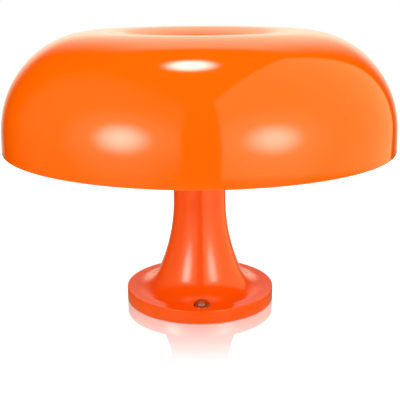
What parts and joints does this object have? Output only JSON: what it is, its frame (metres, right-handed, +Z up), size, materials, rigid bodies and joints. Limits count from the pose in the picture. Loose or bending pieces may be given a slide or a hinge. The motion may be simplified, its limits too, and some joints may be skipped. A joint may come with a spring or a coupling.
{
  "type": "table lamp",
  "caption": "Cordless mushroom table lamp: wide moulded shade with a dished crown on a trumpet-shaped stem, held by a hand knob, with a push button in the flange.",
  "frame": {"origin": "on the table, on the lamp's axis, under the middle of the foot", "axes": "+Z up along the lamp's axis; -Y is the front with the push button; +Y the back with the charging socket"},
  "size_m": [0.32, 0.32, 0.2275],
  "materials": {
    "shade_polycarbonate": "see-through orange, moulded, polished",
    "base_polycarbonate": "opaque orange, moulded, polished",
    "knob_polycarbonate": "orange, moulded, polished",
    "opal_acrylic": "opal, satin",
    "chromed_zinc": "polished",
    "brass": "turned",
    "zinc_plated_steel": "zinc plated",
    "raw_steel": "plain, oiled",
    "white_lacquered_aluminium": "white, satin",
    "turned_aluminium": "turned",
    "cell_can": "metal can",
    "shrink_film": "shrink film",
    "black_abs": "fine grain",
    "natural_abs": "moulded",
    "black_rubber": "soft",
    "clear_silicone": "soft, milky",
    "nickel_strip": "nickel",
    "green_board": "solder mask",
    "white_board": "white solder mask",
    "light_chip": "phosphor gel",
    "wire_jacket": "soft, white",
    "steel_socket": "plated",
    "clear_acrylic": "clear"
  },
  "bodies": {
    "base": {"base_shell": "base_polycarbonate", "base_plate": "black_abs", "foot_ring": "black_rubber", "base_screws": "zinc_plated_steel", "ballast_weights": "raw_steel", "battery_cells": "cell_can", "battery_tabs": "nickel_strip", "battery_sleeve": "shrink_film", "battery_cradle": "natural_abs", "battery_lead": "wire_jacket", "led_lead": "wire_jacket", "switch_ribbon": "wire_jacket", "lead_grommet": "black_rubber", "light_carrier": "white_lacquered_aluminium", "led_board": "white_board", "led_chips": "light_chip", "led_board_screws": "zinc_plated_steel", "diffuser": "opal_acrylic", "seat_post": "turned_aluminium", "post_nut": "zinc_plated_steel", "post_washer": "zinc_plated_steel", "seat_gasket": "clear_silicone", "switch_body": "black_abs", "switch_board": "green_board", "board_screws": "zinc_plated_steel", "charge_board": "green_board", "board_connectors": "natural_abs", "usb_socket": "steel_socket", "usb_tongue": "black_abs", "charge_light_pipe": "clear_acrylic"},
    "shade": {"shade": "shade_polycarbonate"},
    "washer": {"knob_washer": "zinc_plated_steel"},
    "knob": {"knob": "knob_polycarbonate", "knob_insert": "brass"},
    "button": {"button_cap": "chromed_zinc", "switch_plunger": "black_abs"}
  },
  "joints": [
    {"name": "shade_lift", "type": "slide", "parent": "base", "child": "shade", "axis": [0, 0, 1], "range_m": [0, 0.09]},
    {"name": "washer_rise", "type": "slide", "parent": "shade", "child": "washer", "axis": [0, 0, 1], "range_m": [0, 0.0076]},
    {"name": "knob_turn", "type": "hinge", "parent": "washer", "child": "knob", "pos_m": [0, 0, 0.208], "axis": [0, 0, 1], "range_deg": [0, 2160]},
    {"name": "button_press", "type": "slide", "parent": "base", "child": "button", "axis": [0, -0.2455, 0.9694], "range_m": [-0.0006, 0], "stiffness_N_per_m": 2500, "springref_m": 0.0004}
  ],
  "couplings": [
    {"joint": "washer_rise", "follows": "knob_turn", "m_per_rad": 0.00019894}
  ]
}
